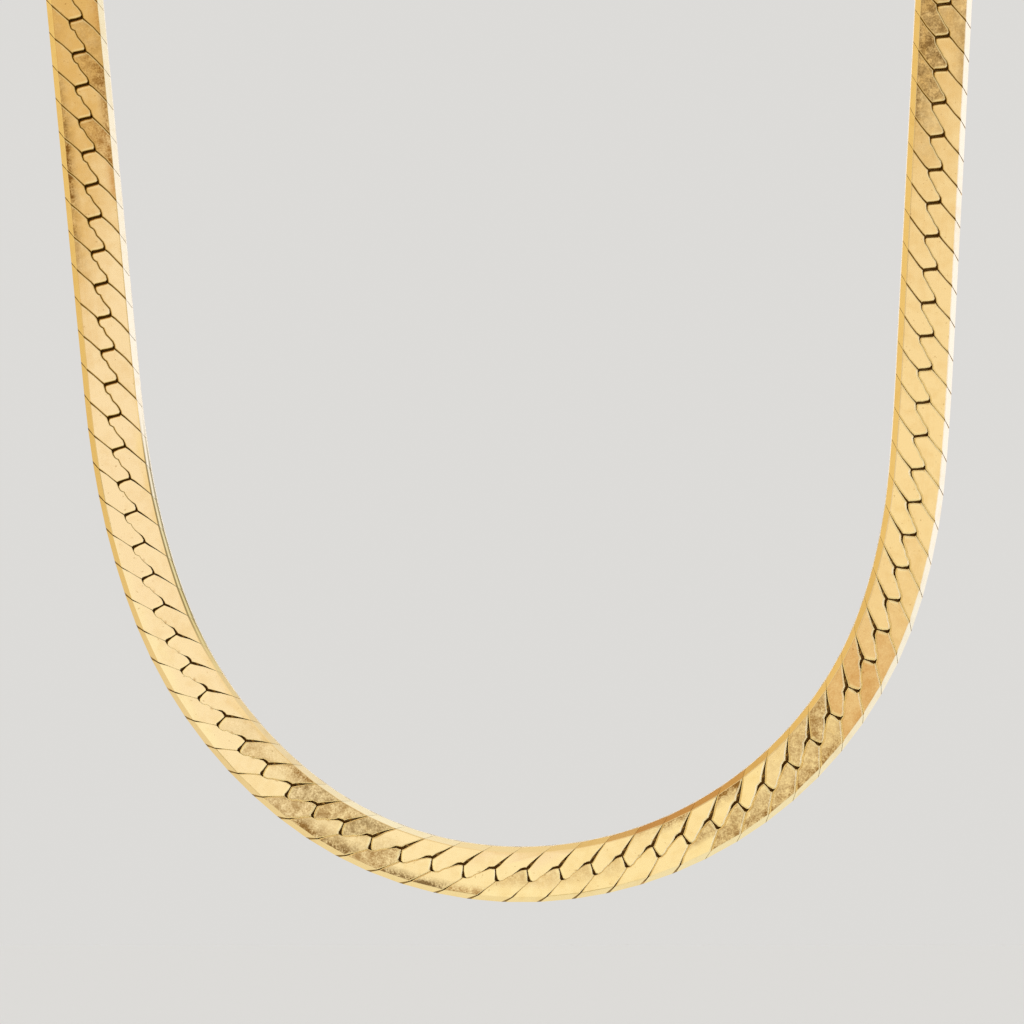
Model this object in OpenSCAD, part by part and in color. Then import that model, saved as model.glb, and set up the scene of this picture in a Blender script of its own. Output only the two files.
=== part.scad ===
// Flat herringbone chain, worn at the neck: a closed loop of interlocking flat curb links with a
// plain clasp at the back of the neck. The loop hangs in the XZ plane with its face to -Y. The
// origin is the middle of the clasp's inner edge, where the loop sits on the neck.

/* [Chain] */
// Length of the whole loop, clasp included
chain_l = 457.2; // [400:0.1:560]
// Width of the flat band
chain_w = 7; // [6:0.1:8.5]
// Thickness of the flat band
chain_t = 1.8; // [1.4:0.1:2.4]
// Distance wanted from one link to the next
link_pitch = 4.02; // [3.4:0.02:4.6]

/* [Facets] */
// Width of the bevel along each edge of the band
bevel_w = 0.68; // [0.4:0.02:1]
// How far the bevel drops towards the middle of the band
bevel_drop = 0.45; // [0.2:0.05:0.6]

/* [Gaps] */
// Clearance between neighbouring links
link_gap = 0.13; // [0.12:0.01:0.18]
// Length of the short slot across the middle of each link
slot_l = 1.7; // [1.3:0.05:2.2]
// Width of the slot
slot_w = 0.3; // [0.24:0.02:0.4]
// Lean of the slot off square
slot_lean = 10; // [4:1:16]

/* [Clasp] */
// Length of the clasp from end slot to end slot
clasp_l = 14.6; // [9:0.1:20]
// Width of the clasp
clasp_w = 7.4; // [6.6:0.1:9]
// Thickness of the clasp
clasp_t = 2.6; // [2.4:0.1:3.4]
// Corner bevel of the clasp
clasp_bevel = 0.7; // [0.3:0.05:0.9]

/* [Hidden] */
gold = [0.93, 0.79, 0.5];

// The way round the loop, from the middle of the clasp down the left side, round the bend and up
// the right side. Each row is a stretch: its length in parts of the whole, and its turn in degrees.
LENGTH = 0;
TURN = 1;
route = [
    [28, 0],
    [310, 95.5],
    [233, 0],
    [40, 4.5],
    [64, 10],
    [120, 32],
    [120, 39],
    [120, 36],
    [120, 36],
    [64, 12],
    [48, 2],
    [224, 0],
    [310, 93],
    [28, 0],
];

// Corners of a link's face, along the chain in shares of the pitch
wave_flat = 0.2;
bevel_reach = 0.5;
rim_reach = 0.78;

part_l = chain_l / total([for (row = route) row[LENGTH]]);
link_span = chain_l - clasp_l;
link_count = round(link_span / link_pitch) - 1;
pitch = link_span / (link_count + 1);
left_count = ceil(link_count / 2);
rim_spare = chain_w / 20;
slot_run = slot_l * tan(slot_lean) / 2;
slot_side = (slot_w - link_gap) / 2;
clasp_end_gap = slot_w;

function total(v, i = 0) = i < len(v) ? v[i] + total(v, i + 1) : 0;

// A step of length d that turns by t degrees on its way, from the place p = [x, z, heading]
function step(p, d, t) =
    let (chord = t == 0 ? d : d * sin(t / 2) / (t * PI / 360), a = p[2] + t / 2)
    [p[0] + chord * cos(a), p[1] + chord * sin(a), p[2] + t];

// Place and distance at which each stretch starts: [x, z, heading, distance]
starts = [
    for (
        i = 0, d = 0, p = [0, clasp_w / 2, 180];
        i < len(route);
        p = step(p, route[i][LENGTH] * part_l, route[i][TURN]),
        d = d + route[i][LENGTH] * part_l,
        i = i + 1
    ) [p[0], p[1], p[2], d]
];

// Number of the stretch that holds the distance s
function stretch_at(s) = max(0, len([for (row = starts) if (row[3] <= s) row]) - 1);

// Place on the route at the distance s: [x, z, heading]
function route_at(s) =
    let (i = stretch_at(s), d = s - starts[i][3])
    step(starts[i], d, route[i][TURN] * d / (route[i][LENGTH] * part_l));

// A point s along the route and t towards the inside of the loop
function on_route(s, t) =
    let (p = route_at(s))
    [p[0] - t * sin(p[2]), p[1] + t * cos(p[2])];

function slot_at(k) = clasp_l / 2 + k * pitch;

// Left normal of the step from a to b
function side(a, b) = [a[1] - b[1], b[0] - a[0]] / norm(b - a);

// An outline that runs anticlockwise, drawn in by d all round
function inset(v, d) = [
    for (i = [0 : len(v) - 1])
        let (
            a = side(v[(i + len(v) - 1) % len(v)], v[i]),
            b = side(v[i], v[(i + 1) % len(v)])
        )
        v[i] + (a + b) * d / (1 + a * b)
];

// Face of the inner limb of a link, about its own slot: from its tip beside the slot before,
// along the wave between the two rows, and out to the rim between two slanting lines
half_l = slot_l / 2;
flat_t = chain_w / 2 - bevel_w;
spare_run = (rim_reach - bevel_reach) * pitch * (bevel_w + rim_spare) / bevel_w;
limb = inset([
    [-pitch - slot_run + slot_side, half_l],
    [-pitch + slot_run + slot_side, -half_l],
    [(wave_flat - 1) * pitch, -half_l],
    [-wave_flat * pitch, half_l],
    [-slot_run, half_l],
    [bevel_reach * pitch, flat_t],
    [bevel_reach * pitch + spare_run, chain_w / 2 + rim_spare],
    [(bevel_reach - 1) * pitch + spare_run, chain_w / 2 + rim_spare],
    [(bevel_reach - 1) * pitch, flat_t],
], link_gap / 2);

// The two limbs of one layer of link k. On the face the inner limb leads; on the back, flip = -1
module layer_outline(k, flip) {
    for (turn = [1, -1]) {
        polygon([for (p = limb) on_route(slot_at(k) + turn * p[0], flip * turn * p[1])]);
    }
}

// Flat band with bevelled edges, straight along the route at the distance s
module band(s, l, w, t, edge, drop) {
    p = route_at(s);
    half = [
        [w / 2, t / 2 - drop],
        [w / 2 - edge, t / 2],
        [edge - w / 2, t / 2],
        [-w / 2, t / 2 - drop],
    ];
    translate([p[0], 0, p[1]]) {
        rotate([0, -p[2], 0]) {
            rotate([90, 0, 90]) {
                linear_extrude(l, center = true) {
                    polygon([for (flip = [1, -1], q = half) flip * [q[1], q[0]]]);
                }
            }
        }
    }
}

// One closed link: two limbs on the face and two on the back, joined where they cross
module link(k) {
    layer_t = (chain_t - link_gap) / 2;
    intersection() {
        rotate([90, 0, 0]) {
            translate([0, 0, link_gap / 2]) {
                linear_extrude(layer_t) layer_outline(k, 1);
            }
            translate([0, 0, -chain_t / 2]) {
                linear_extrude(layer_t) layer_outline(k, -1);
            }
            linear_extrude(2 * link_gap, center = true) {
                intersection() {
                    layer_outline(k, 1);
                    layer_outline(k, -1);
                }
            }
        }
        band(slot_at(k), 4 * pitch, chain_w, chain_t, bevel_w, bevel_drop);
    }
}

module chain_left() {
    color(gold) {
        for (k = [1 : left_count]) link(k);
    }
}

module chain_right() {
    color(gold) {
        for (k = [left_count + 1 : link_count]) link(k);
    }
}

// Plain closed clasp, ending at both sides in a half link that takes the end link of the chain
module clasp() {
    color(gold) {
        band(0, clasp_l - 2 * clasp_end_gap, clasp_w, clasp_t, clasp_bevel, clasp_bevel);
        link(0);
        link(link_count + 1);
    }
}

chain_left();
chain_right();
clasp();
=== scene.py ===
import math
import random

import bmesh
import bpy
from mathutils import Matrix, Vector


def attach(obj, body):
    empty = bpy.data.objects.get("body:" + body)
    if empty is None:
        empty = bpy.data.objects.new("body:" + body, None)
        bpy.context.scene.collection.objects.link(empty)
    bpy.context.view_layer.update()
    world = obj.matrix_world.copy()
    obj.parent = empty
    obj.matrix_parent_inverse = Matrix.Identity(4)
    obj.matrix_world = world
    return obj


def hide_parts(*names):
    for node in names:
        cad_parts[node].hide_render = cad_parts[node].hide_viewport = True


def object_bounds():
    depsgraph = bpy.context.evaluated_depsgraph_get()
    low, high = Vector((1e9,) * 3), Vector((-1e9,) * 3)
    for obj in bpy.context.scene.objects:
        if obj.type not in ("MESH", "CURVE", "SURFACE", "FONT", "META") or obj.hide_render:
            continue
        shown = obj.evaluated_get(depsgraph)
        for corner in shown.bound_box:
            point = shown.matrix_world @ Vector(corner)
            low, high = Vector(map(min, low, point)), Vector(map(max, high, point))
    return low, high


# A flat herringbone chain with a plain box clasp, hung up as a loop. Every link is built from its
# four limbs along the route of the CAD chain. Sizes of the chain are in millimetres. Its links are
# counted from 0, next to the clasp on the left, to 108 on the right, and -1 and 109 are the half
# links of the clasp
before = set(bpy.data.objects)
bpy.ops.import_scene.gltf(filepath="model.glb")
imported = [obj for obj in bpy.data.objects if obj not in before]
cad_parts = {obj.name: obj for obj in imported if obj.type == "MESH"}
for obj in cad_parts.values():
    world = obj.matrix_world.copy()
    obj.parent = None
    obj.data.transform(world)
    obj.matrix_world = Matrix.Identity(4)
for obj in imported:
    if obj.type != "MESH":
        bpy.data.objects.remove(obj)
cad_box = [list(corner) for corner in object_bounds()]

MM = 0.001
SEED = 11

# Band
BAND_W = 7.0
BAND_T = 1.8
BEVEL_W = 0.68
BEVEL_SLOPE = 0.66
LAYER_GAP = 0.13

# Folds sharper than this angle, in radians, show as edges
CREASE = 0.2

# Points nearer to each other than this are one place
CLOSE = 0.01

# Radius at which the chain counts as fully bent, and the number of links over which it is taken
FULL_BEND_RADIUS = 48.0
BEND_SPAN = 3

# Soft edges of a limb: how wide they are, how deep for their width, and the share of that depth
# at which the mark that colours an edge is full
SOFT_EDGE = 0.16
SOFT_EDGE_DEPTH = 0.45
EDGE_MARK_DEPTH = 0.8

# Softness of the ridge between face and bevel, as made and where the bevel is worn narrow, and
# how soon it is fully worn as the bevel narrows
RIDGE_SOFTNESS = 0.07
WORN_RIDGE = 0.13
RIDGE_WEAR_RATE = 3

# Wear along the chain, each row a link and its value: how wide the inner bevel shows, how wide
# the soft edges are for their usual width, and how strongly grime and painted shade darken the foot
# of an edge
INNER_BEVEL = ((-1, 0.68), (31, 0.68), (34, 0.5), (41, 0.46), (45, 0.68), (109, 0.68))
EDGE_WEAR = (
    (-1, 1), (32, 1), (37, 0.3), (43, 0.3), (46, 0.9), (50, 0.9), (53, 0.35), (56, 0.5), (60, 1.3),
    (72, 1.3), (78, 1), (109, 1),
)
EDGE_GRIME_AND_SHADE = ((-1, 0), (0, 1), (32, 1), (42, 0.3), (74, 0.3), (80, 1), (108, 1), (109, 0))

# Clasp
CLASP_L = 14.6
CLASP_W = 7.4
CLASP_T = 2.6
CLASP_BEVEL = 0.7
CLASP_END_GAP = 0.3
CLASP_SOFT_EDGE = 0.12

# The link number that the clasp's body carries, at which no finish marks a tip or a slot
OFF_CHAIN = -3.5

# Seams on the face of the band, about the slot of one link. Each row is a point of the seam:
# along in pitches, across in band widths towards the inside of the loop, then half the width of
# the gap in millimetres where the chain hangs straight and where it bends
SLOT = (
    (-0.024, 0.088, 0.14, 0.065),
    (-0.002, -0.005, 0.13, 0.08),
    (0.024, -0.098, 0.16, 0.2),
)
STEPPED_WAVE_SEAM = (
    (0.14, -0.12, 0.035, 0.012),
    (0.25, -0.1, 0.02, 0.002),
    (0.3, -0.072, 0.022, 0.002),
    (0.335, -0.042, 0.014, 0.002),
    (0.4, -0.03, 0.014, 0.002),
    (0.535, 0.0, 0.014, 0.002),
    (0.655, 0.054, 0.018, 0.03),
    (0.77, 0.102, 0.022, 0.14),
    (0.88, 0.115, 0.04, 0.19),
)
WAVE_SEAM = (
    (0.14, -0.122, 0.03, 0.012),
    (0.26, -0.095, 0.016, 0.003),
    (0.37, -0.04, 0.01, 0.002),
    (0.5, 0.0, 0.008, 0.002),
    (0.64, 0.05, 0.01, 0.04),
    (0.78, 0.105, 0.016, 0.14),
    (0.9, 0.116, 0.035, 0.17),
)
RIM_SEAM_INNER = (
    (-0.015, 0.12, 0.05, 0.19),
    (0.08, 0.18, 0.028, 0.19),
    (0.28, 0.285, 0.014, 0.09),
    (0.54, 0.403, 0.017, 0.02),
    (0.82, 0.5, 0.026, 0.006),
)
RIM_SEAM_OUTER = (
    (0.015, -0.13, 0.05, 0.02),
    (-0.08, -0.18, 0.02, 0.006),
    (-0.28, -0.288, 0.01, 0.016),
    (-0.47, -0.403, 0.03, 0.08),
    (-0.71, -0.5, 0.055, 0.14),
)
CLOSED_RIM_SEAM_OUTER = (
    *RIM_SEAM_OUTER[:2],
    (-0.28, -0.288, 0.01, 0.006),
    (-0.47, -0.403, 0.03, 0.018),
    (-0.71, -0.5, 0.055, 0.03),
)

# How much wider the gaps stand along the chain, the links whose wave has a small step, and those
# whose outer seam stays closed at the rim
GAP_SPREAD = ((-1, 1), (55, 1), (61, 1.12), (109, 1.12))
STEPPED_LINKS = range(-4, 45)
CLOSED_RIM_LINKS = range(60, 115)

# Unevenness of hand work: how far corners stray, and the slope by which limbs tilt
HAND_WOBBLE = 0.035
HAND_TILT = 0.006

# How far links sit past their even places, in pitches: they spread where the chain hangs straight
SPREAD = (
    (-1, 0.0),
    (20, 0.06),
    (33, 0.21),
    (40, 0.21),
    (44, 0.16),
    (54, 0.075),
    (66, -0.015),
    (69, -0.02),
    (73, 0.04),
    (86, 0.235),
    (109, 0.0),
)

# How much narrower the band shows along its route, and how far it sits inwards, in band widths
NARROWER = ((-1, 0.0), (20, 0.012), (34, 0.012), (44, 0.035), (66, 0.035), (72, 0.012), (109, 0.0))
INWARDS = (
    (-1, 0.0),
    (30, 0.0),
    (40, 0.018),
    (54, 0.022),
    (62, 0.01),
    (70, -0.01),
    (90, -0.01),
    (109, 0.0),
)

# What joins the face of a link to its back, about its slot: from, to along in pitches, from, to
# across in band widths and from, to out of the face in millimetres. Posts stand at both rims and
# both ends, and thin webs lie between the two layers, where they close the seams from sight
RIM_POSTS = (
    (-0.25, 0.25, 0.33, 0.485, -0.25, 0.25),
    (-0.25, 0.25, -0.485, -0.33, -0.25, 0.25),
)
END_POST = (0.85, 0.965, -0.085, 0.085, -0.25, 0.25)
HALF_WEBS = (
    (0.44, 1.012, -0.175, 0.175, 0.006, 0.05),
    (-0.02, 0.56, 0.2, 0.495, 0.006, 0.05),
    (-0.02, 0.56, -0.495, -0.2, 0.006, 0.05),
)

# How far the rim of a limb leans back on its way from the bevel to the middle of the rim, in
# pitches, and where the lean starts, in band widths
RIM_LEAN = 0.32
LEAN_START = 0.4

# Tarnished limbs, by their link, here counted from 1: how strong the stain is, where on the limb,
# from -1 at its tip to 1 at its rim, and how warm, from grey at 0 to copper at 1
TARNISH_INNER = {
    22: (0.35, 0.8, 0.8), 23: (0.35, 0.0, 0.3), 24: (0.95, 0.2, 0.4), 25: (0.6, 1.0, 0.5),
    26: (1.0, 0.2, 0.65), 27: (0.5, 1.0, 0.9), 45: (0.2, 0.0, 0.3), 46: (0.6, -0.3, 0.5),
    47: (0.85, 0.4, 0.4), 48: (0.85, 0.0, 0.2), 49: (0.8, 0.0, 0.35), 50: (0.8, 0.0, 0.15),
    51: (0.3, -0.8, 0.3), 59: (0.2, 0.8, 0.5), 60: (0.6, 1.0, 0.5), 62: (1.0, 0.7, 0.45),
    64: (0.2, 0.0, 0.5), 65: (0.65, 0.0, 0.45), 66: (0.85, 0.0, 0.5), 67: (0.9, 0.0, 0.95),
    68: (0.95, 0.0, 1.0), 69: (0.6, 0.0, 1.0), 70: (0.3, 0.0, 1.0), 71: (0.2, 0.0, 1.0),
    72: (0.1, 0.0, 1.0), 84: (0.2, 0.0, 0.3), 85: (0.7, 0.3, 0.12), 86: (0.85, 0.0, 0.12),
    87: (0.95, 0.0, 0.15), 88: (0.85, 0.0, 0.15), 89: (0.7, 0.0, 0.2),
}
TARNISH_OUTER = {
    22: (0.2, 0.5, 0.6), 24: (0.3, 1.0, 0.2), 25: (0.5, 0.7, 0.2), 26: (0.7, 0.9, 0.3),
    27: (0.7, 0.9, 0.3), 28: (0.4, 0.9, 0.2), 29: (0.3, 0.5, 0.3), 47: (0.75, 0.0, 0.35),
    48: (1.0, 0.4, 0.3), 49: (1.0, 0.35, 0.2), 50: (0.8, 0.0, 0.4), 51: (0.85, 0.9, 0.15),
    52: (0.85, 0.9, 0.1), 53: (0.65, 1.0, 0.6), 54: (0.4, -0.8, 0.6), 55: (0.35, -0.8, 0.6),
    56: (0.35, -0.8, 0.6), 57: (0.3, -0.8, 0.6), 60: (0.8, -0.9, 0.35), 61: (0.85, 0.1, 0.35),
    62: (0.95, 0.2, 0.35), 63: (0.95, 0.25, 0.4), 64: (0.9, 0.2, 0.4), 65: (0.85, 0.3, 0.45),
    66: (0.95, 0.1, 0.95), 67: (1.0, 0.0, 1.0), 68: (0.85, 0.0, 1.0), 69: (0.5, 0.0, 1.0),
    70: (0.25, 0.0, 1.0), 71: (0.2, 0.0, 1.0), 72: (0.1, 0.0, 1.0),
    86: (0.3, 0.6, 0.4), 87: (0.5, 0.1, 0.25), 88: (0.6, 0.0, 0.25), 89: (0.5, 0.0, 0.3),
}

# Links whose tarnish the tables give, counted the same way. On the others, and on the back, a
# stain is left to chance and comes where it is above this
TABLED_LINKS = range(20, 91)
STAIN_CHANCE = 0.8

# Material slots of a piece
PLATE = 0
WALL = 1
DEPTH = 2


# The route: the middle of every link, read from the CAD chain

# Places before the first link and after the last, for the clasp's half links and its body
SPARE = 4


def loose_links(name):
    """The corner points of each separate link of a CAD node."""
    bm = bmesh.new()
    bm.from_mesh(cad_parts[name].data)
    bmesh.ops.remove_doubles(bm, verts=bm.verts, dist=CLOSE * MM)
    seen = set()
    links = []
    for first in bm.verts:
        if first in seen:
            continue
        seen.add(first)
        island = [first]
        for vert in island:
            for edge in vert.link_edges:
                other = edge.other_vert(vert)
                if other not in seen:
                    seen.add(other)
                    island.append(other)
        links.append([vert.co.copy() for vert in island])
    bm.free()
    return links


def middle(points):
    """Halfway between the lowest and highest corner."""
    low = Vector([min(p[i] for p in points) for i in range(3)])
    high = Vector([max(p[i] for p in points) for i in range(3)])
    return (low + high) / 2


def link_middles(links):
    """The slot of every link, from the clasp down the left side and back up the right."""
    low, high = cad_box
    centre = Vector(((low[0] + high[0]) / 2, 0, (low[2] + high[2]) / 2))

    def way_round(link):
        spoke = middle(link) - centre
        return math.atan2(-spoke.x, spoke.z) % math.tau

    links = sorted(links, key=way_round)
    rough = [middle(link) for link in links]
    places = []
    for k, link in enumerate(links):
        ahead = (rough[min(k + 1, len(rough) - 1)] - rough[max(k - 1, 0)]).normalized()
        inward = Vector((-ahead.z, 0, ahead.x))
        for way in (ahead, inward):
            reach = [(p - rough[k]).dot(way) for p in link]
            rough[k] = rough[k] + way * (min(reach) + max(reach)) / 2
        places.append(Vector((rough[k].x, 0, rough[k].z)))
    return places


def with_clasp(places):
    """The places with those of the clasp's own half links and of its body before and after."""
    step = (places[1] - places[0]).length
    start = Vector((-CLASP_L / 2 * MM, 0, CLASP_W / 2 * MM))
    before = [start + Vector((step * i, 0, 0)) for i in range(SPARE)]
    after = [Vector((-p.x, 0, p.z)) for p in before]
    return before[::-1] + places + after


left_links = loose_links("chain_left")
right_links = loose_links("chain_right")
middles = link_middles(left_links + right_links)
route = with_clasp(middles)
PITCH = sum((b - a).length for a, b in zip(middles, middles[1:])) / (len(middles) - 1) / MM


def eased(rows, at):
    """Value of a table of (place, value) rows at a place, in even steps from row to row."""
    for (a, low), (b, high) in zip(rows, rows[1:]):
        if at <= b:
            f = max(0, (at - a) / (b - a))
            return low + (high - low) * f
    return rows[-1][1]


def on_route(u):
    """Place and inward direction at u links from the first, on a smooth curve through them."""
    u += eased(SPREAD, u)
    k = min(max(int(math.floor(u)) + SPARE, 1), len(route) - 3)
    f = u + SPARE - k
    a, b, c, d = route[k - 1:k + 3]
    bow = 2 * a - 5 * b + 4 * c - d
    end = 3 * b - a - 3 * c + d
    place = (2 * b + (c - a) * f + bow * f ** 2 + end * f ** 3) / 2
    ahead = ((c - a) + 2 * bow * f + 3 * end * f ** 2).normalized()
    return place, Vector((-ahead.z, 0, ahead.x))


def on_band(u, across, out):
    """A point of the band: u links along, across towards the inside and out of the face, in mm."""
    place, inward = on_route(u)
    across = across * (1 - eased(NARROWER, u)) + eased(INWARDS, u) * BAND_W
    return place + inward * across * MM + Vector((0, -out * MM, 0))


def bend_at(k):
    """0 where the chain hangs straight, up to 1 on the full bend."""
    _, before = on_route(k - BEND_SPAN / 2)
    _, after = on_route(k + BEND_SPAN / 2)
    radius = BEND_SPAN * PITCH / max(before.angle(after), 1e-6)
    return min(1.0, FULL_BEND_RADIUS / radius) ** 1.5


# Shape of a limb

hand = random.Random(SEED)
links_in_all = range(1 - SPARE, len(middles) + SPARE - 1)
bends = {k: bend_at(k) for k in links_in_all}
wobbles = {
    (k, seam, row): Vector((hand.gauss(0, 1), hand.gauss(0, 1))) * HAND_WOBBLE / 2
    for k in links_in_all
    for seam in (
        SLOT, WAVE_SEAM, STEPPED_WAVE_SEAM, RIM_SEAM_INNER, RIM_SEAM_OUTER, CLOSED_RIM_SEAM_OUTER,
    )
    for row in seam
}


def seam_line(seam, side, k, shift=0):
    """One edge of a seam of the link k + shift, side 1 to its left as its rows run, in mm."""
    points = [
        Vector(((row[0] + shift) * PITCH, row[1] * BAND_W)) + wobbles[k + shift, seam, row]
        for row in seam
    ]
    edge = []
    for i, (point, row) in enumerate(zip(points, seam)):
        run = points[min(i + 1, len(points) - 1)] - points[max(i - 1, 0)]
        left = Vector((-run.y, run.x)).normalized()
        half_gap = row[2] + (row[3] - row[2]) * bends[k + shift]
        half_gap *= eased(GAP_SPREAD, k + shift)
        edge.append(point + left * side * half_gap)
    return edge


def wave_line(side, k, shift=0):
    """One edge of the seam between the two rows: on the left it has a small step."""
    seam = STEPPED_WAVE_SEAM if k + shift in STEPPED_LINKS else WAVE_SEAM
    return seam_line(seam, side, k, shift)


def inner_rim_line(side, k, shift, bevel):
    """One edge of the seam to the inner rim, where the bevel may be worn narrow."""
    return rim_ended(seam_line(RIM_SEAM_INNER, side, k, shift), bevel)


def outer_rim_line(side, k, shift=0):
    """One edge of the seam to the outer rim: on the bend it opens there, but not on the right."""
    seam = CLOSED_RIM_SEAM_OUTER if k + shift in CLOSED_RIM_LINKS else RIM_SEAM_OUTER
    return rim_ended(seam_line(seam, side, k, shift), BEVEL_W)


def rim_ended(edge, bevel):
    """The same line, its last two points slid along to the bevel and to the rim of the band."""
    for i, reach in ((-2, BAND_W / 2 - bevel), (-1, BAND_W / 2)):
        a, b = edge[i - 1], edge[i]
        end = math.copysign(reach, b.y)
        edge[i] = a + (b - a) * (end - a.y) / (b.y - a.y)
    return edge


def inner_limb(k):
    """Outline of the limb on the inside of the loop, whose tip lies beside the slot before."""
    bevel = eased(INNER_BEVEL, k)
    return (
        seam_line(SLOT, 1, k, -1)
        + wave_line(1, k, -1)
        + inner_rim_line(1, k, 0, bevel)
        + inner_rim_line(-1, k, -1, bevel)[::-1]
    )


def outer_limb(k):
    """Outline of the limb on the outside of the loop, whose tip lies beside the next slot."""
    return (
        seam_line(SLOT, -1, k, 1)[::-1]
        + wave_line(-1, k)[::-1]
        + outer_rim_line(1, k)
        + outer_rim_line(-1, k, 1)[::-1]
    )


def raised_limb(outline, side, rim_height):
    """An outline raised to the face of the band and cut off sloping along its rim."""
    bm = bmesh.new()
    underside = LAYER_GAP / 2
    base = bm.faces.new([bm.verts.new((p.x, p.y, underside)) for p in outline])
    bmesh.ops.recalc_face_normals(bm, faces=[base])
    if base.normal.z > 0:
        base.normal_flip()
    lifted = bmesh.ops.extrude_face_region(bm, geom=[base], use_keep_orig=True)
    top = [item for item in lifted["geom"] if isinstance(item, bmesh.types.BMVert)]
    bmesh.ops.translate(bm, verts=top, vec=(0, 0, BAND_T / 2 - underside))
    cut = bmesh.ops.bisect_plane(
        bm,
        geom=bm.verts[:] + bm.edges[:] + bm.faces[:],
        plane_co=(0, side * BAND_W / 2, rim_height),
        plane_no=(0, side * BEVEL_SLOPE, 1),
        dist=0.001,
        clear_outer=True,
    )
    rim = [item for item in cut["geom_cut"] if isinstance(item, bmesh.types.BMEdge)]
    bmesh.ops.contextual_create(bm, geom=rim)
    bmesh.ops.recalc_face_normals(bm, faces=bm.faces)
    return bm


def lies_level(face):
    return face.normal.z > 0.99


def stands_upright(face):
    return abs(face.normal.z) < 0.01


def soften_edges(bm, soft):
    """Softens the upper edges along the seams, wider than they are deep."""
    seam_edges = [
        edge for edge in bm.edges
        if any(lies_level(face) for face in edge.link_faces)
        and all(lies_level(face) or stands_upright(face) for face in edge.link_faces)
    ]
    bmesh.ops.scale(bm, verts=bm.verts, vec=(1, 1, 1 / SOFT_EDGE_DEPTH))
    bmesh.ops.bevel(
        bm, geom=seam_edges, affect="EDGES", offset=soft, segments=1, profile=0.5, material=-1,
    )
    bmesh.ops.scale(bm, verts=bm.verts, vec=(1, 1, SOFT_EDGE_DEPTH))


def soften_ridge(bm, ridge_at, bevel):
    """Softens the ridge between face and bevel, more where the bevel is worn narrow."""
    ridge = [
        edge for edge in bm.edges
        if all(abs(abs(vert.co.y) - ridge_at) < CLOSE for vert in edge.verts)
        and min(vert.co.z for vert in edge.verts) > BAND_T / 2 - CLOSE
    ]
    worn_off = (BEVEL_W - bevel) / BEVEL_W * RIDGE_WEAR_RATE
    ridge_soft = RIDGE_SOFTNESS + (WORN_RIDGE - RIDGE_SOFTNESS) * min(1, worn_off)
    bmesh.ops.bevel(
        bm, geom=ridge, affect="EDGES", offset=ridge_soft, segments=1, profile=0.5, material=-1,
    )
    bm.normal_update()


def limb_solid(outline, bevel, soft, grime_and_shade):
    """A limb of the face layer, bevelled at the rim, its edges soft and marked for the finish."""
    side = math.copysign(1, sum(p.y for p in outline))
    ridge_at = BAND_W / 2 - bevel
    rim_height = BAND_T / 2 - bevel * BEVEL_SLOPE
    bm = raised_limb(outline, side, rim_height)
    soften_edges(bm, soft)
    soften_ridge(bm, ridge_at, bevel)
    for face in bm.faces:
        on_rim = abs(face.normal.y) > 0.9 and abs(face.calc_center_median().y) > BAND_W / 2 - 0.1
        face.material_index = PLATE if face.normal.z > 0.1 or on_rim else WALL
    # The edge mark grows down each soft edge: the finish paints it pale for wear and painted
    # highlight, and brown at its foot for grime and painted shade
    edge_mark = bm.verts.layers.float.new("edge")
    for vert in bm.verts:
        on_bevel = max(0, abs(vert.co.y) - ridge_at)
        below = BAND_T / 2 - on_bevel * BEVEL_SLOPE - vert.co.z
        depth_share = below / (EDGE_MARK_DEPTH * SOFT_EDGE_DEPTH * soft)
        vert[edge_mark] = min(grime_and_shade, max(0, depth_share)) if on_bevel < bevel / 2 else 0
        reach = max(0, abs(vert.co.y) / BAND_W - LEAN_START) / (0.5 - LEAN_START)
        depth = max(0, 1 - vert.co.z / rim_height)
        vert.co.x -= side * RIM_LEAN * PITCH * reach * depth
    return finished(bm, "limb")


def block(bm, low, high):
    """A box between two corners."""
    corners = bmesh.ops.create_cube(bm, size=1)["verts"]
    bmesh.ops.scale(bm, verts=corners, vec=high - low)
    bmesh.ops.translate(bm, verts=corners, vec=(high + low) / 2)
    return corners


def turned_over(ranges):
    """The same blocks carried over to the back of the link."""
    return [(-b, -a, c, d, -f, -e) for a, b, c, d, e, f in ranges]


def blocks(name, ranges):
    """Blocks of a link between its face and its back."""
    bm = bmesh.new()
    for along, to_along, across, to_across, out, to_out in ranges:
        low = Vector((along * PITCH, across * BAND_W, out))
        high = Vector((to_along * PITCH, to_across * BAND_W, to_out))
        block(bm, low, high)
    for face in bm.faces:
        face.material_index = DEPTH
    return finished(bm, name)


def finished(bm, name):
    """The mesh of a bmesh, shaded smooth."""
    for face in bm.faces:
        face.smooth = True
    mesh = bpy.data.meshes.new(name)
    bm.to_mesh(mesh)
    bm.free()
    return mesh


def shown(mesh):
    """An object in the scene that shows a mesh."""
    thing = bpy.data.objects.new(mesh.name, mesh)
    bpy.context.scene.collection.objects.link(thing)
    return thing


# A layer of links, laid on the route

def laid(bm, mesh, k, turned, tilt=(0, 0), tone=0.5, stain=(0, 0, 0)):
    """Adds a solid at link k of the route. Turned, it is carried over to the back of the band."""
    start = len(bm.verts)
    bm.from_mesh(mesh)
    bm.verts.ensure_lookup_table()
    flip = -1 if turned else 1
    added = bm.verts[start:]
    centre = sum((vert.co for vert in added), Vector()) / len(added)
    on_band_at = bm.verts.layers.float_vector["on_band"]
    limb_stain = bm.verts.layers.float_vector["limb_stain"]
    limb_tone = bm.verts.layers.float["limb_tone"]
    for vert in added:
        along, across, out = vert.co
        if out > BAND_T / 4:
            out += tilt[0] * (along - centre.x) + tilt[1] * (across - centre.y)
        vert[on_band_at] = (k + flip * along / PITCH, across / BAND_W, flip * out)
        vert[limb_stain] = stain
        vert[limb_tone] = tone
        vert.co = on_band(k + flip * along / PITCH, across, flip * out)


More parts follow.
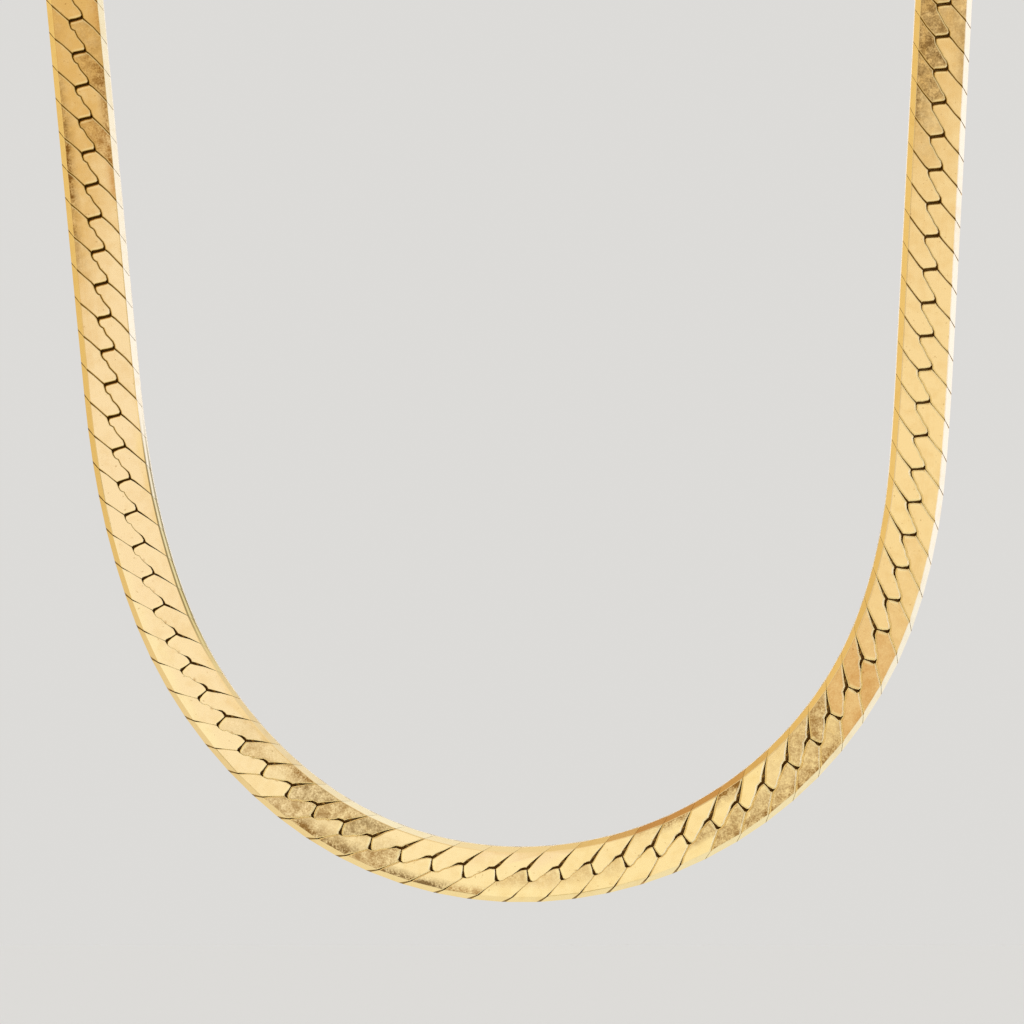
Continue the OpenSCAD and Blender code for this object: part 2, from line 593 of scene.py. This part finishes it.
def stain_of(table, k, turned):
    """How the limb of link k is tarnished: as the tables say, and now and then where they end."""
    chance = hand.random()
    strength = hand.uniform(0.3, 0.9)
    other = (hand.uniform(-0.5, 1), hand.uniform(0.1, 0.8))
    clean = 0.1 * chance - 0.1
    if k + 1 in TABLED_LINKS and not turned:
        return table.get(k + 1, (clean, 0, 0.5))
    return (strength if chance > STAIN_CHANCE else clean, *other)


def new_layers(bm):
    """What each corner carries: its place on the band, its limb's stain and tone, and its edge mark
    for wear, dirt, painted highlight and painted shade.
    """
    bm.verts.layers.float_vector.new("on_band")
    bm.verts.layers.float_vector.new("limb_stain")
    bm.verts.layers.float.new("limb_tone")
    bm.verts.layers.float.new("edge")


def limb_layer(name, links, turned):
    """An object with the limbs of some links, on the face of the band or turned to its back."""
    bm = bmesh.new()
    new_layers(bm)
    for k in links:
        for outline, table in ((inner_limb, TARNISH_INNER), (outer_limb, TARNISH_OUTER)):
            tilt = (hand.uniform(-HAND_TILT, HAND_TILT), hand.uniform(-HAND_TILT, HAND_TILT))
            tone = hand.random()
            stain = stain_of(table, k, turned)
            soft = SOFT_EDGE * eased(EDGE_WEAR, k)
            bevel = eased(INNER_BEVEL, k) if outline is inner_limb else BEVEL_W
            solid = limb_solid(outline(k), bevel, soft, eased(EDGE_GRIME_AND_SHADE, k))
            laid(bm, solid, k, turned, tilt, tone, stain)
    return shown(finished(bm, name))


def block_layer(name, links, ranges):
    """An object with the same blocks between face and back in each of some links."""
    bm = bmesh.new()
    new_layers(bm)
    mesh = blocks(name, ranges)
    for k in links:
        laid(bm, mesh, k, False)
    return shown(finished(bm, name))


def fused(name, solids, finishes):
    """One object of solids that overlap, joined where they meet."""
    for solid in solids:
        for finish in finishes:
            solid.data.materials.append(finish)
    first = solids[0]
    for other in solids[1:]:
        union = first.modifiers.new("join", "BOOLEAN")
        union.operation = "UNION"
        union.solver = "MANIFOLD"
        union.object = other
    graph = bpy.context.evaluated_depsgraph_get()
    mesh = bpy.data.meshes.new_from_object(first.evaluated_get(graph))
    mesh.name = name
    mesh.set_sharp_from_angle(angle=CREASE)
    for solid in solids:
        bpy.data.objects.remove(solid)
    return shown(mesh)


def link_layers(links):
    """The four layers of some links: face, back, posts and webs."""
    return [
        limb_layer("face", links, False),
        limb_layer("back", links, True),
        block_layer("posts", links, [*RIM_POSTS, END_POST, *turned_over([END_POST])]),
        block_layer("webs", links, [*HALF_WEBS, *turned_over(HALF_WEBS)]),
    ]


def clasp_body():
    """The plain box of the clasp, bevelled along its length and softened all round."""
    bm = bmesh.new()
    half = Vector((CLASP_L / 2 - CLASP_END_GAP, CLASP_W / 2, CLASP_T / 2))
    block(bm, -half, half)
    long_edges = [
        edge for edge in bm.edges
        if abs(edge.verts[0].co.x - edge.verts[1].co.x) > CLASP_L / 2
    ]
    bmesh.ops.bevel(
        bm, geom=long_edges, affect="EDGES", offset=CLASP_BEVEL, segments=1, profile=0.5,
        material=-1,
    )
    bmesh.ops.bevel(
        bm, geom=bm.edges[:], affect="EDGES", offset=CLASP_SOFT_EDGE, segments=2, profile=0.5,
        material=-1,
    )
    new_layers(bm)
    on_band_at = bm.verts.layers.float_vector["on_band"]
    limb_tone = bm.verts.layers.float["limb_tone"]
    for vert in bm.verts:
        along, across, out = vert.co
        vert[on_band_at] = (OFF_CHAIN, across / BAND_W, out)
        vert[limb_tone] = 0.5
        vert.co = Vector((along, -out, CLASP_W / 2 + across)) * MM
    bmesh.ops.recalc_face_normals(bm, faces=bm.faces)
    return shown(finished(bm, "body"))


# Finishes

# Colours of the plate, of its tarnish and of what shows in the seams, darkest first where two
PALE_GOLD = (0.96, 0.735, 0.385)
# The deeper gold is the plate's own tone where it varies at random, and painted shade near the neck
DEEP_GOLD = (0.78, 0.49, 0.16)
# Pale of edges worn bright, and of painted highlight on them
WORN_AND_HIGHLIT_RIM = (1.0, 0.8, 0.4)
GREY_TARNISH = (0.28, 0.23, 0.18)
BROWN_TARNISH = (0.38, 0.24, 0.1)
COPPER_TARNISH = (0.7, 0.42, 0.17)
# Brown at the foot of the soft edges: grime and painted shade by the gaps
SEAM_BROWN = (0.33, 0.165, 0.022)
SPOT_BROWN = (0.42, 0.27, 0.08)
RIDGE_LINE_OLIVE = (0.26, 0.24, 0.16)
# Painted light in the gaps where they stand open
OPEN_GAP = (0.96, 0.66, 0.24)
GAP_WALL = ((0.3, 0.14, 0.02), (0.45, 0.24, 0.05))
GAP_DEPTH = ((0.14, 0.06, 0.004), (0.28, 0.13, 0.02))

# How fine each noise is, in marks for each metre
CLOUDS = 900
GRAINS = 5200
MOTTLING = 700
RAGGED_EDGES = 3000
SPECKLES = 2400
GAP_DIRT = 1500

# Stretch of the drawn lines, long along the band and fine across it, and depth of the bumps
DRAWN_LINES = (0.35, 55, 3)
BUMP_DEPTH = 0.00001

# Places on a link: how its slot leans, how far a worn tip with painted highlight reaches in
# pitches, and where the flat ends and the darker line along the inner ridge runs, in band widths
SLOT_LEAN = 0.29
TIP_REACH = 0.075
FLAT_END = 0.5 - BEVEL_W / BAND_W
RIDGE_LINE_AT = 0.432

# Stretches of the chain, from link to link, over which a finish comes in
# The painted shade of deeper gold near the neck comes in over these
LEFT_ARM_DEEP = (32, 23)
RIGHT_ARM_DEEP = (76, 90)
LEFT_SPOTS = (34, 40)
RIGHT_SPOTS = (66, 58)
LEFT_OUTLINE = (40, 46)
RIGHT_OUTLINE = (86, 74)
WAVE_CLOSED = (66, 76)
UPPER_RIDGE_LINE = (32.5, 35)
LOWER_RIDGE_LINE = (42, 39)
# Painted light comes into the gaps over these
LEFT_GAPS_LIGHT = (34, 42)
RIGHT_GAPS_LIGHT = (66, 80)


def socket(holder, name):
    """The socket of a node that carries a name, where several do, the one in use."""
    return next(s for s in holder if s.name == name and s.enabled)


def node(tree, kind, inputs=None, **settings):
    """Adds a node, with its settings, and with numbers or other sockets on its inputs."""
    made = tree.nodes.new("ShaderNode" + kind)
    for name, value in settings.items():
        setattr(made, name, value)
    for name, value in (inputs or {}).items():
        target = made.inputs[name] if isinstance(name, int) else socket(made.inputs, name)
        if isinstance(value, bpy.types.NodeSocket):
            tree.links.new(value, target)
        else:
            target.default_value = value
    return made


def maths(tree, operation, *values, **settings):
    """One sum on numbers or sockets."""
    made = node(tree, "Math", dict(enumerate(values)), operation=operation, **settings)
    return made.outputs[0]


def faded(tree, value, low, high, to_low=0.0, to_high=1.0):
    """A soft step from one value to another as the input goes from low to high."""
    made = node(
        tree, "MapRange",
        {"Value": value, "From Min": low, "From Max": high, "To Min": to_low, "To Max": to_high},
        interpolation_type="SMOOTHSTEP",
    )
    return socket(made.outputs, "Result")


def mixed(tree, factor, a, b, blend="MIX"):
    """One colour mixed into another, each a colour or a socket."""
    made = node(
        tree, "Mix", {0: factor}, data_type="RGBA", blend_type=blend, clamp_factor=True,
    )
    for value, target in ((a, made.inputs[6]), (b, made.inputs[7])):
        if isinstance(value, bpy.types.NodeSocket):
            tree.links.new(value, target)
        else:
            target.default_value = (*value, 1)
    return made.outputs[2]


def noise(tree, vector, scale, detail=3.0, roughness=0.55):
    """Noise from 0 to 1, mostly near the middle."""
    made = node(
        tree, "TexNoise",
        {"Vector": vector, "Scale": scale, "Detail": detail, "Roughness": roughness},
    )
    return made.outputs["Fac"]


def attribute(tree, name, output="Vector"):
    """What the corners of a piece carry under a name."""
    return node(tree, "Attribute", attribute_name=name).outputs[output]


def group(name, inputs, outputs):
    """A node group with named sockets: its tree, its inputs and its output node."""
    tree = bpy.data.node_groups.new(name, "ShaderNodeTree")
    for label, kind, value in inputs:
        made = tree.interface.new_socket(label, in_out="INPUT", socket_type=kind)
        if value is not None:
            made.default_value = value
    for label, kind in outputs:
        tree.interface.new_socket(label, in_out="OUTPUT", socket_type=kind)
    entry = tree.nodes.new("NodeGroupInput")
    leave = tree.nodes.new("NodeGroupOutput")
    return tree, entry.outputs, leave.inputs


def placed(tree, effect, inputs):
    """Puts a node group into a material or another group."""
    made = tree.nodes.new("ShaderNodeGroup")
    made.node_tree = effect
    for name, value in inputs.items():
        if isinstance(value, bpy.types.NodeSocket):
            tree.links.new(value, made.inputs[name])
        else:
            made.inputs[name].default_value = value
    return made.outputs


def tarnish_group():
    """Mottled tarnish on the flats of the limbs, from what each limb's stain says."""
    tree, given, result = group(
        "tarnish",
        [("Position", "NodeSocketVector", None), ("Stain", "NodeSocketVector", None),
         ("Across", "NodeSocketFloat", 0.0), ("Edge", "NodeSocketFloat", 0.0)],
        [("Cover", "NodeSocketFloat"), ("Warmth", "NodeSocketFloat")],
    )
    stain = node(tree, "SeparateXYZ", {0: given["Stain"]})
    strength, bias, warmth = stain.outputs
    off_middle = maths(tree, "ABSOLUTE", given["Across"])
    to_rim = faded(tree, off_middle, 0.05, 0.4, -1, 1)
    aside = maths(tree, "MULTIPLY_ADD", to_rim, bias, 1)
    aside = maths(tree, "SUBTRACT", aside, maths(tree, "ABSOLUTE", bias), use_clamp=True)
    clouds = noise(tree, given["Position"], CLOUDS, detail=4, roughness=0.65)
    grains = noise(tree, given["Position"], GRAINS, detail=3, roughness=0.7)
    mottle = maths(tree, "MULTIPLY_ADD", clouds, 2.3, maths(tree, "MULTIPLY", grains, 2.0))
    mottle = maths(tree, "SUBTRACT", mottle, 1.55, use_clamp=True)
    even = faded(tree, warmth, 0.6, 1.0, 0.0, 0.7)
    level_off = maths(tree, "SUBTRACT", 0.6, mottle)
    mottle = maths(tree, "MULTIPLY_ADD", level_off, even, mottle)
    beside_bevel = faded(tree, off_middle, 0.29, 0.38)
    beside_bevel = maths(tree, "MULTIPLY", beside_bevel, bias, use_clamp=True)
    aside = maths(tree, "ADD", aside, beside_bevel)
    level = maths(tree, "MULTIPLY", maths(tree, "MULTIPLY", strength, aside), mottle)
    flat = faded(tree, off_middle, FLAT_END + 0.002, FLAT_END - 0.008)
    clear = faded(tree, given["Edge"], 0.25, 0.05)
    cover = maths(tree, "MULTIPLY", level, maths(tree, "MULTIPLY", flat, clear))
    tree.links.new(cover, result["Cover"])
    tree.links.new(warmth, result["Warmth"])
    return tree


def wear_group():
    """Drawn lines, mottling and grain of the plate, and masks of tips, wave, spots and specks."""
    tree, given, result = group(
        "wear",
        [("Position", "NodeSocketVector", None), ("Place", "NodeSocketVector", None)],
        [("Mottle", "NodeSocketFloat"), ("Lines", "NodeSocketFloat"),
         ("Grain", "NodeSocketFloat"), ("Tip", "NodeSocketFloat"), ("Spot", "NodeSocketFloat"),
         ("Wave", "NodeSocketFloat"), ("Specks", "NodeSocketFloat")],
    )
    place = given["Place"]
    drawn = node(tree, "VectorMath", {0: place, 1: DRAWN_LINES}, operation="MULTIPLY")
    mottle = noise(tree, given["Position"], MOTTLING, detail=5, roughness=0.6)
    tree.links.new(mottle, result["Mottle"])
    tree.links.new(noise(tree, drawn.outputs[0], 1.0, detail=3, roughness=0.6), result["Lines"])
    tree.links.new(noise(tree, given["Position"], GRAINS, detail=2), result["Grain"])
    along, across, out = node(tree, "SeparateXYZ", {0: place}).outputs
    lean = maths(tree, "MULTIPLY", maths(tree, "MULTIPLY", across, out), SLOT_LEAN)
    whole = maths(tree, "FRACT", maths(tree, "ADD", maths(tree, "ADD", along, lean), 0.5))
    from_slot = maths(tree, "ABSOLUTE", maths(tree, "SUBTRACT", whole, 0.5))
    by_slot = faded(tree, from_slot, TIP_REACH + 0.075, TIP_REACH)
    in_row = faded(tree, maths(tree, "ABSOLUTE", across), 0.15, 0.08)
    tree.links.new(maths(tree, "MULTIPLY", by_slot, in_row), result["Tip"])
    from_wave = node(
        tree, "CombineXYZ",
        {0: maths(tree, "SUBTRACT", 0.5, from_slot), 1: maths(tree, "MULTIPLY", across, 1.7)},
    )
    away = node(tree, "VectorMath", {0: from_wave.outputs[0]}, operation="LENGTH").outputs["Value"]
    ragged = noise(tree, given["Position"], RAGGED_EDGES, detail=3, roughness=0.7)
    away = maths(tree, "MULTIPLY_ADD", ragged, 0.12, away)
    tree.links.new(faded(tree, away, 0.145, 0.06), result["Spot"])
    dots = noise(tree, given["Position"], SPECKLES, detail=1)
    tree.links.new(faded(tree, dots, 0.7, 0.78, 0, 0.4), result["Specks"])
    by_wave = faded(tree, from_slot, 0.12, 0.22)
    tree.links.new(maths(tree, "MULTIPLY", by_wave, in_row), result["Wave"])
    return tree


tarnish = tarnish_group()
wear = wear_group()


def gold_finish(name):
    """Gold plate, deeper near the neck in painted shade, tarnished limb by limb, pale at its edges
    and tips from wear and painted highlight, and brown at their foot from dirt and painted shade.
    """
    finish = bpy.data.materials.new(name)
    finish.use_nodes = True
    tree = finish.node_tree
    shader = tree.nodes["Principled BSDF"]
    shader.inputs["Metallic"].default_value = 1.0
    position = node(tree, "TexCoord").outputs["Object"]
    place = attribute(tree, "on_band")
    tone = attribute(tree, "limb_tone", "Fac")
    edge = attribute(tree, "edge", "Fac")
    along, across, out = node(tree, "SeparateXYZ", {0: place}).outputs
    worn = placed(tree, wear, {"Position": position, "Place": place})
    stained = placed(
        tree, tarnish,
        {"Position": position, "Stain": attribute(tree, "limb_stain"), "Across": across,
         "Edge": edge},
    )

    # Deeper gold near the neck is painted shade for the dimmer surroundings the plate mirrors
    # there; random tone, mottle and drawn lines add to it
    askew = maths(tree, "MULTIPLY_ADD", across, 6, along)
    painted_shade_near_neck = maths(
        tree, "MAXIMUM", faded(tree, askew, *LEFT_ARM_DEEP, 0.05, 0.95),
        faded(tree, askew, *RIGHT_ARM_DEEP, 0.05, 0.7),
    )
    off_middle = maths(tree, "ABSOLUTE", across)
    flat = faded(tree, off_middle, FLAT_END + 0.006, FLAT_END - 0.006)
    deep = maths(tree, "MULTIPLY", painted_shade_near_neck, flat)
    uneven = maths(tree, "MULTIPLY_ADD", tone, 0.16, maths(tree, "MULTIPLY", worn["Mottle"], 1.1))
    uneven = maths(tree, "MULTIPLY_ADD", worn["Lines"], 0.3, uneven)
    deep = maths(tree, "ADD", deep, maths(tree, "SUBTRACT", uneven, 0.8), use_clamp=True)

    colour = mixed(tree, deep, PALE_GOLD, DEEP_GOLD)
    tint = mixed(tree, faded(tree, stained["Warmth"], 0, 0.5), GREY_TARNISH, BROWN_TARNISH)
    tint = mixed(tree, faded(tree, stained["Warmth"], 0.5, 1), tint, COPPER_TARNISH)
    colour = mixed(tree, stained["Cover"], colour, tint, blend="MULTIPLY")
    spots = faded(tree, along, *LEFT_SPOTS, 0, 0.7)
    spots = maths(tree, "MULTIPLY", spots, faded(tree, along, *RIGHT_SPOTS))
    spots = maths(tree, "MULTIPLY", spots, faded(tree, tone, 0.3, 0.8, 0.15, 1))
    spots = maths(tree, "MULTIPLY", spots, worn["Spot"])
    spots = maths(tree, "MAXIMUM", spots, maths(tree, "MULTIPLY", worn["Specks"], flat))
    colour = mixed(tree, spots, colour, SPOT_BROWN, blend="MULTIPLY")
    # Pale rims on the soft edges, fuller on the bends, and pale tips by the slots: wear and painted
    # highlight
    outline = faded(tree, edge, 0, 0.2)
    outline = maths(tree, "MULTIPLY", outline, faded(tree, along, *LEFT_OUTLINE, 0.3, 1))
    outline = maths(tree, "MULTIPLY", outline, faded(tree, along, *RIGHT_OUTLINE, 0.3, 1))
    rubbed_and_highlit = maths(tree, "MAXIMUM", outline, maths(tree, "MULTIPLY", worn["Tip"], 0.5))
    rubbed_and_highlit = maths(tree, "MULTIPLY", rubbed_and_highlit, flat)
    colour = mixed(tree, rubbed_and_highlit, colour, WORN_AND_HIGHLIT_RIM)
    # Brown at the foot of the soft edges, grime and painted shade by the gaps, left out where the
    # wave seam closes
    closed = maths(tree, "MULTIPLY", worn["Wave"], faded(tree, along, *WAVE_CLOSED, 0, 0.5))
    brown = maths(tree, "SUBTRACT", faded(tree, edge, 0.3, 0.75), closed, use_clamp=True)
    colour = mixed(tree, brown, colour, SEAM_BROWN)
    # Darker olive along the inner ridge and towards the inner rim, above the foot of the bevel,
    # over the left bend
    off_ridge = maths(tree, "ABSOLUTE", maths(tree, "SUBTRACT", across, RIDGE_LINE_AT))
    ridge_line = maths(
        tree, "MAXIMUM", faded(tree, off_ridge, 0.02, 0.008), faded(tree, across, 0.465, 0.49),
    )
    ridge_line = maths(tree, "MULTIPLY", ridge_line, faded(tree, out, 0.45, 0.6))
    ridge_line = maths(tree, "MULTIPLY", ridge_line, faded(tree, along, *UPPER_RIDGE_LINE))
    ridge_line = maths(tree, "MULTIPLY", ridge_line, faded(tree, along, *LOWER_RIDGE_LINE, 0, 0.85))
    colour = mixed(tree, ridge_line, colour, RIDGE_LINE_OLIVE, blend="MULTIPLY")
    tree.links.new(colour, shader.inputs["Base Color"])

    rough = maths(tree, "MULTIPLY_ADD", worn["Grain"], 0.14, 0.1)
    rough = maths(tree, "MULTIPLY_ADD", stained["Cover"], 0.25, rough)
    rough = maths(tree, "MULTIPLY_ADD", outline, 0.52, rough, use_clamp=True)
    tree.links.new(rough, shader.inputs["Roughness"])
    height = maths(tree, "MULTIPLY_ADD", worn["Lines"], 0.5, worn["Grain"])
    bump = node(tree, "Bump", {"Height": height, "Distance": BUMP_DEPTH, "Strength": 0.3})
    tree.links.new(bump.outputs[0], shader.inputs["Normal"])
    return finish


def gap_finish(name, dark, light, metallic, roughness):
    """What is seen down a gap between two links, with painted light where the gaps stand open."""
    finish = bpy.data.materials.new(name)
    finish.use_nodes = True
    tree = finish.node_tree
    shader = tree.nodes["Principled BSDF"]
    shader.inputs["Metallic"].default_value = metallic
    shader.inputs["Roughness"].default_value = roughness
    shader.inputs["Specular IOR Level"].default_value = 0.1
    position = node(tree, "TexCoord").outputs["Object"]
    along = node(tree, "SeparateXYZ", {0: attribute(tree, "on_band")}).outputs[0]
    colour = mixed(tree, noise(tree, position, GAP_DIRT), dark, light)
    painted_light_in_gaps = maths(
        tree, "ADD", faded(tree, along, *LEFT_GAPS_LIGHT, 0, 0.22),
        faded(tree, along, *RIGHT_GAPS_LIGHT, 0, 0.12),
    )
    colour = mixed(tree, painted_light_in_gaps, colour, OPEN_GAP)
    tree.links.new(colour, shader.inputs["Base Color"])
    return finish


finishes = (
    gold_finish("gold_plate"),
    gap_finish("gap_wall", *GAP_WALL, metallic=1.0, roughness=0.4),
    gap_finish("gap_depth", *GAP_DEPTH, metallic=0.0, roughness=0.7),
)


# The chain and its clasp

def as_piece(piece, replaced):
    """Puts a piece in the place of a CAD node."""
    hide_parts(replaced)
    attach(piece, "root")


left_run = range(0, len(left_links))
right_run = range(len(left_links), len(middles))
clasp_run = (-1, len(middles))
as_piece(fused("left_links", link_layers(left_run), finishes), "chain_left")
as_piece(fused("right_links", link_layers(right_run), finishes), "chain_right")
clasp_parts = link_layers(clasp_run) + [clasp_body()]
as_piece(fused("box_clasp", clasp_parts, finishes), "clasp")

# Floor, light and camera

FLOOR_Z = -0.3
FLOOR_REACH = 1.2
FLOOR_COLOUR = (0.73, 0.739, 0.742)
BACKDROP = (0.72, 0.71, 0.69)

# The camera looks level at the face. Its frame is as wide as the photo, of so many pixels to a
# side and to the width of the band. Its place is in metres, its sensor in millimetres
PHOTO_SIDE = 1024
BAND_PIXELS = 57
CAMERA_DISTANCE = 0.5
CAMERA_X = 0.0013
CAMERA_Z = -0.1192
SENSOR_W = 36


def floor():
    """A plain pale floor, which the gold doesn't mirror."""
    bm = bmesh.new()
    bmesh.ops.create_grid(bm, x_segments=1, y_segments=1, size=FLOOR_REACH)
    bmesh.ops.translate(bm, verts=bm.verts, vec=(0, 0, FLOOR_Z))
    thing = shown(finished(bm, "floor"))
    finish = bpy.data.materials.new("pale_floor")
    finish.use_nodes = True
    shader = finish.node_tree.nodes["Principled BSDF"]
    shader.inputs["Base Color"].default_value = (*FLOOR_COLOUR, 1)
    shader.inputs["Roughness"].default_value = 1.0
    shader.inputs["Specular IOR Level"].default_value = 0.0
    thing.data.materials.append(finish)
    thing.visible_glossy = False


# Soft light from all round. The bevels mirror a ring of it: turns from the right, upwards, to its
# colour. The faces mirror the front, which is brightest below, warmer to the right and dimmer
# above. Between the two lies a dim brink, and the back mirrors one even light
RING_LIGHT = (
    (0.0, (1.1, 1.3, 2.1)),
    (0.03, (1.1, 1.3, 2.1)),
    (0.046, (0.85, 0.92, 0.85)),
    (0.068, (0.78, 0.82, 0.7)),
    (0.105, (0.83, 0.81, 0.79)),
    (0.145, (0.9, 0.96, 1.12)),
    (0.18, (1.0, 1.15, 1.48)),
    (0.245, (0.92, 0.9, 0.82)),
    (0.287, (0.8, 0.68, 0.42)),
    (0.303, (0.55, 0.32, 0.16)),
    (0.343, (0.6, 0.38, 0.18)),
    (0.37, (0.8, 0.65, 0.35)),
    (0.415, (0.87, 0.71, 0.41)),
    (0.45, (0.78, 0.62, 0.32)),
    (0.48, (0.91, 0.77, 0.44)),
    (0.52, (0.8, 0.66, 0.36)),
    (0.6, (0.87, 0.83, 0.72)),
    (0.74, (0.95, 0.96, 0.86)),
    (0.85, (0.94, 1.03, 1.12)),
    (0.95, (1.0, 1.2, 1.85)),
    (0.98, (1.1, 1.3, 2.1)),
)
FRONT_LIGHT = (1.03, 1.015, 1.12)
LOWER_LIGHT = (1.08, 1.13, 1.12)
RIGHT_TINT = (0.99, 0.945, 0.715)
UPPER_LIGHT = (0.95, 0.89, 0.79)
BRINK_LIGHT = (0.45, 0.4, 0.25)
BACK_LIGHT = (1.2, 1.2, 1.2)


def studio():
    """The light as the world's colour, and the plain backdrop that the camera sees in its place."""
    world = bpy.data.worlds.new("studio")
    bpy.context.scene.world = world
    world.use_nodes = True
    tree = world.node_tree
    way = node(tree, "TexCoord").outputs["Generated"]
    right, back, up = node(tree, "SeparateXYZ", {0: way}).outputs
    turn = maths(tree, "DIVIDE", maths(tree, "ARCTAN2", up, right), math.tau)
    ramp = node(tree, "ValToRGB", {0: maths(tree, "FRACT", turn)})
    ramp.color_ramp.interpolation = "EASE"
    stops = ramp.color_ramp.elements
    while len(stops) < len(RING_LIGHT):
        stops.new(0.5)
    for stop, (place, colour) in zip(stops, RING_LIGHT):
        stop.position = place
        stop.color = (*colour, 1)
    front = mixed(tree, faded(tree, up, -0.03, -0.09), FRONT_LIGHT, LOWER_LIGHT)
    front = mixed(tree, faded(tree, right, -0.02, 0.07), front, RIGHT_TINT, blend="MULTIPLY")
    front = mixed(tree, faded(tree, up, 0.0, 0.12), front, UPPER_LIGHT)
    light = mixed(tree, faded(tree, back, -0.92, -0.7), front, ramp.outputs["Color"])
    brink = maths(tree, "MULTIPLY", faded(tree, back, -0.9, -0.84), faded(tree, back, -0.78, -0.84))
    light = mixed(tree, brink, light, BRINK_LIGHT)
    light = mixed(tree, faded(tree, back, -0.1, 0.3), light, BACK_LIGHT)
    path = node(tree, "LightPath")
    seen = mixed(tree, path.outputs["Is Camera Ray"], light, BACKDROP)
    tree.links.new(seen, tree.nodes["Background"].inputs["Color"])


def camera():
    data = bpy.data.cameras.new("camera")
    frame_w = PHOTO_SIDE * BAND_W / BAND_PIXELS * MM
    data.sensor_width = SENSOR_W
    data.lens = SENSOR_W * CAMERA_DISTANCE / frame_w
    thing = bpy.data.objects.new("camera", data)
    bpy.context.scene.collection.objects.link(thing)
    thing.location = (CAMERA_X, -CAMERA_DISTANCE, CAMERA_Z)
    thing.rotation_euler = (math.pi / 2, 0, 0)
    bpy.context.scene.camera = thing


floor()
studio()
camera()
bpy.context.scene.view_settings.view_transform = "Standard"
